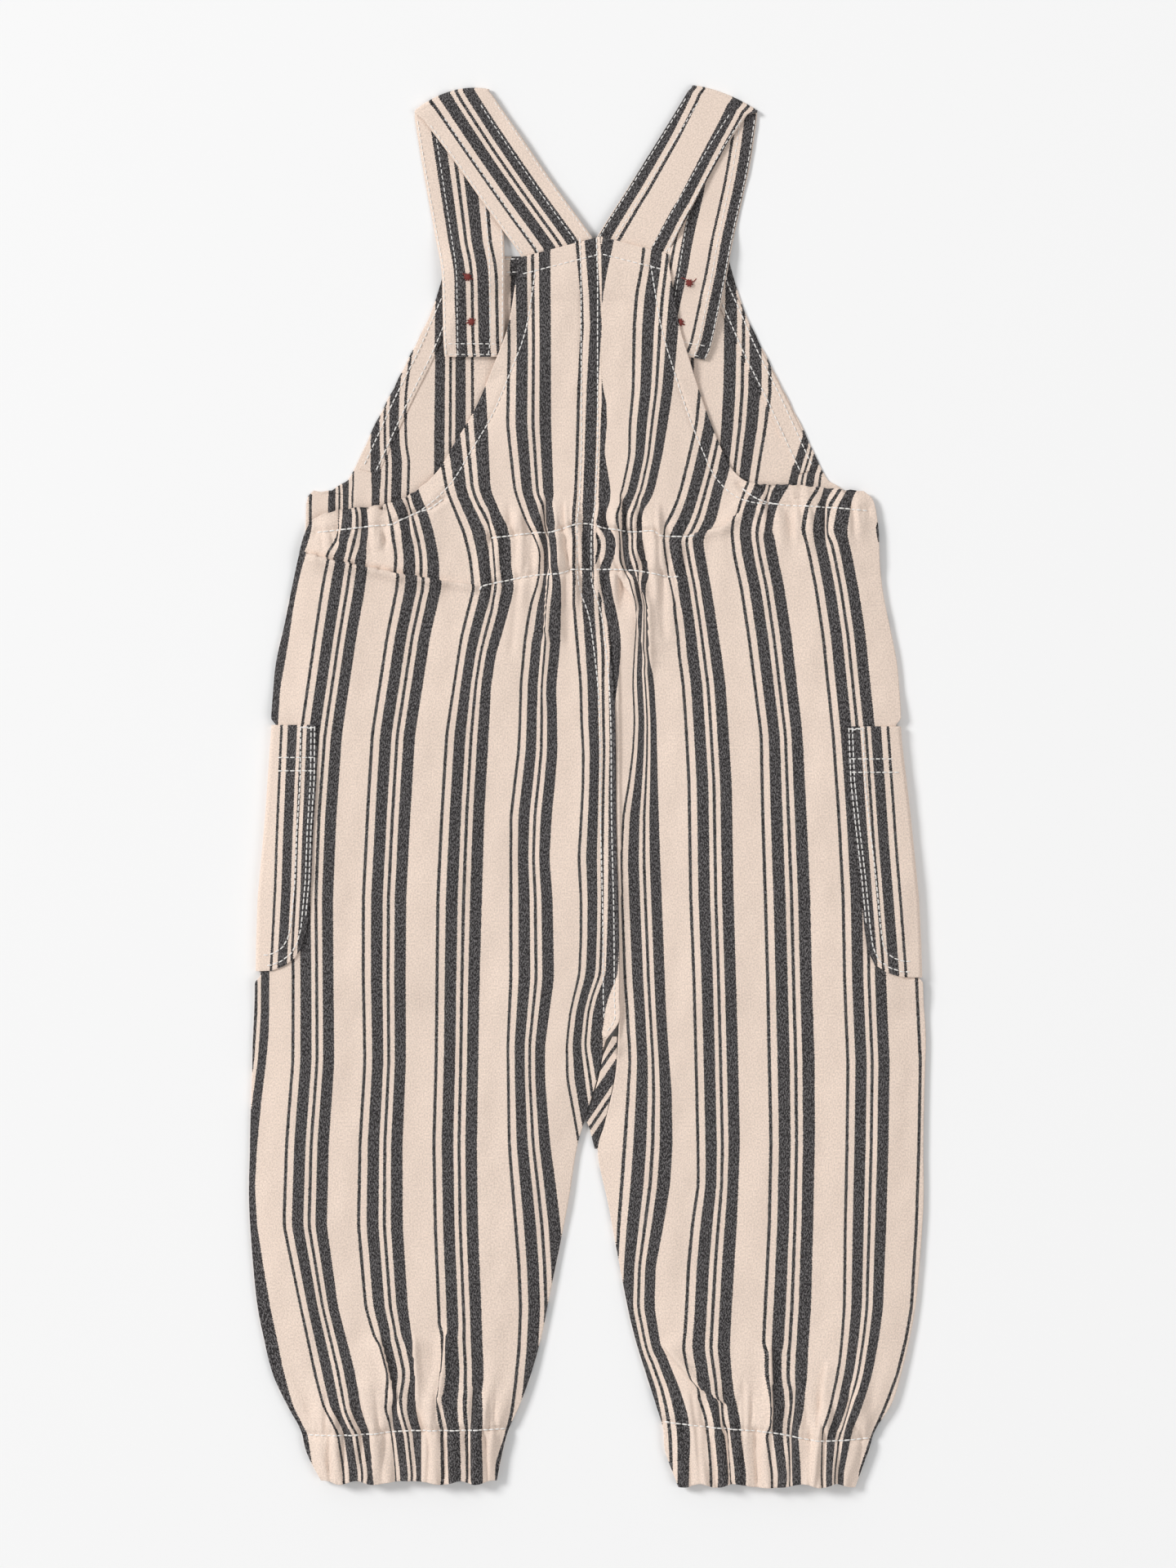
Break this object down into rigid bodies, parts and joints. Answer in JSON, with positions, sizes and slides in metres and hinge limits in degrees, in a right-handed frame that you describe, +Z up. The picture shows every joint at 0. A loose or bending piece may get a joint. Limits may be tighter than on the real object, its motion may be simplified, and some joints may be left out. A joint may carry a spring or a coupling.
{
  "type": "kids bib overalls",
  "caption": "Child's bib overalls laid flat with the back up: back bib with folded straps over the front bib, elastic back waist, side patch pockets and gathered elastic cuffs.",
  "frame": {"origin": "centre of the garment's bounding box on the surface it lies on", "axes": "+Z up from the surface, the back facing up; +Y toward the straps, along the garment; +X to the right as seen from above"},
  "size_m": [0.3188, 0.6598, 0.0082],
  "materials": {
    "striped_cotton": "matt cotton twill, cream with charcoal melange stripes",
    "striped_cotton_inside": "the same cloth's inner side, a little paler and matt",
    "button": "dark brown satin"
  },
  "bodies": {
    "root": {"back_left": "striped_cotton", "back_right": "striped_cotton", "front_left": "striped_cotton_inside", "front_right": "striped_cotton_inside", "front_facing_left": "striped_cotton_inside", "front_facing_right": "striped_cotton_inside", "strap_left": "striped_cotton", "strap_right": "striped_cotton", "pocket_left": "striped_cotton", "pocket_right": "striped_cotton", "crotch_gusset": "striped_cotton", "button_left_upper": "button", "button_left_lower": "button", "button_right_upper": "button", "button_right_lower": "button"}
  },
  "joints": []
}
